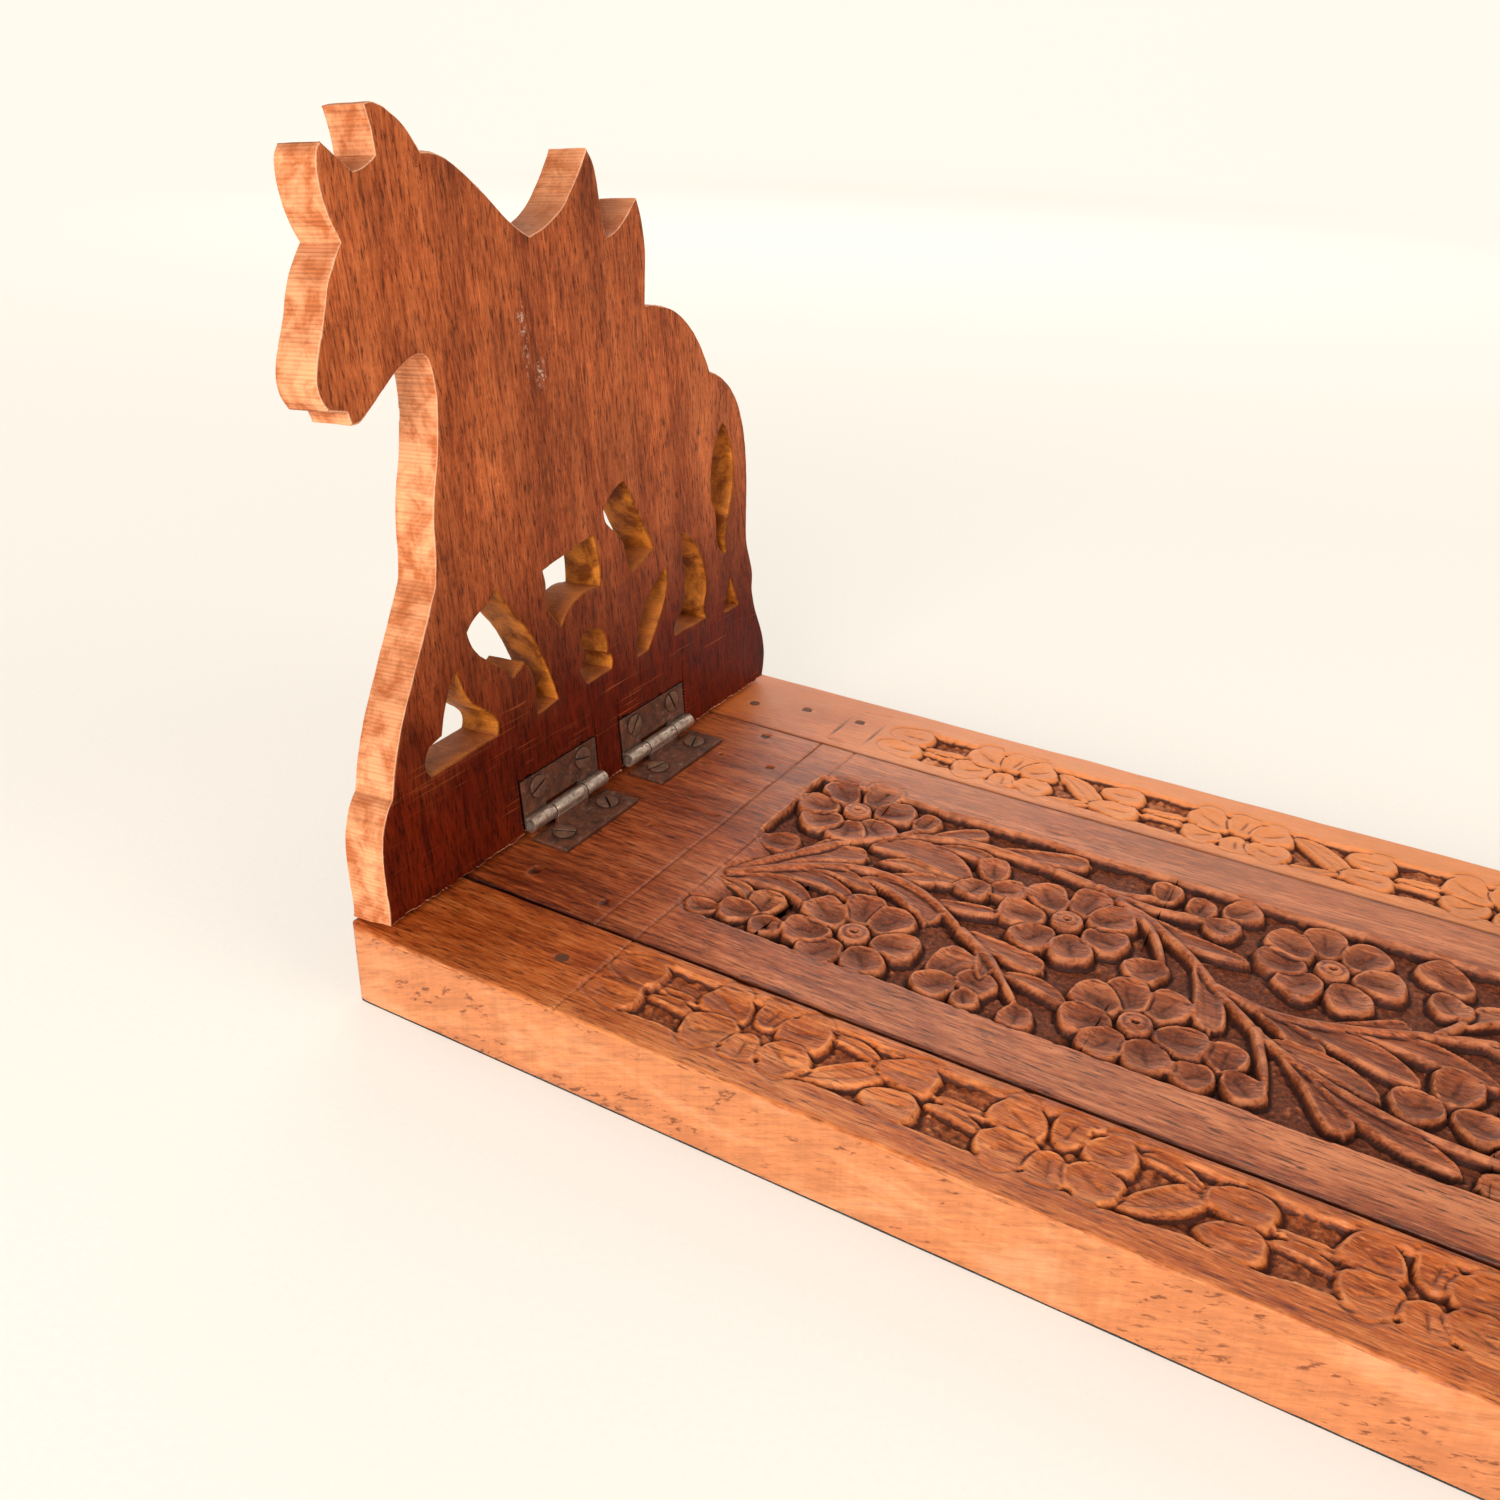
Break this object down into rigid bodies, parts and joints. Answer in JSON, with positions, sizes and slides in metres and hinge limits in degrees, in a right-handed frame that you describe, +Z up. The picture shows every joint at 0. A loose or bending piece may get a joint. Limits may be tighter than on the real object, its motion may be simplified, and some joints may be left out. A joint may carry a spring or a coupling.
{
  "type": "sliding folding book stand",
  "caption": "Carved wooden book stand with a base that slides open and horse-shaped end panels that fold flat on butt hinges.",
  "frame": {"origin": "on the resting surface, under the middle of the closed base", "axes": "+X along the base from the tongue's end to the fork's block, +Y from the edge that the horses face to the back edge, +Z up"},
  "size_m": [0.3318, 0.143, 0.1579],
  "materials": {
    "panel_wood": "dark reddish-brown rosewood, sawn and lightly oiled, satin",
    "board_wood": "red-brown rosewood, hand-carved, worn satin",
    "rail_wood": "amber rosewood, hand-carved, worn satin",
    "plain_wood": "unfinished sawn wood",
    "hinge_iron": "brown-patinated steel, worn bright on the knuckles and edges",
    "pin_steel": "dull steel wire",
    "screw_iron": "dark slotted screw, slightly worn head",
    "nail_iron": "blackened nail"
  },
  "bodies": {
    "fork_base": {"front_rail": "rail_wood", "back_rail": "rail_wood", "end_block": "board_wood", "block_dowels": "plain_wood", "fork_batten": "plain_wood", "fork_batten_nails": "nail_iron", "right_base_screws": "screw_iron", "right_front_base_leaf": "hinge_iron", "right_back_base_leaf": "hinge_iron", "right_front_hinge_pin": "pin_steel", "right_back_hinge_pin": "pin_steel"},
    "tongue_board": {"centre_board": "board_wood", "board_batten": "plain_wood", "board_batten_screws": "screw_iron", "left_base_screws": "screw_iron", "left_front_base_leaf": "hinge_iron", "left_back_base_leaf": "hinge_iron", "left_front_hinge_pin": "pin_steel", "left_back_hinge_pin": "pin_steel"},
    "left_panel": {"left_horse_panel": "panel_wood", "left_panel_screws": "screw_iron", "left_front_panel_leaf": "hinge_iron", "left_back_panel_leaf": "hinge_iron"},
    "right_panel": {"right_horse_panel": "panel_wood", "right_panel_screws": "screw_iron", "right_front_panel_leaf": "hinge_iron", "right_back_panel_leaf": "hinge_iron"}
  },
  "joints": [
    {"name": "base_slide", "type": "slide", "parent": "fork_base", "child": "tongue_board", "axis": [-1, 0, 0], "range_m": [0, 0.18]},
    {"name": "left_panel_fold", "type": "hinge", "parent": "tongue_board", "child": "left_panel", "pos_m": [-0.1429, 0, 0.0206], "axis": [0, 1, 0], "range_deg": [0, 96.9]},
    {"name": "right_panel_fold", "type": "hinge", "parent": "fork_base", "child": "right_panel", "pos_m": [0.1429, 0, 0.0206], "axis": [0, -1, 0], "range_deg": [0, 96.9]}
  ]
}
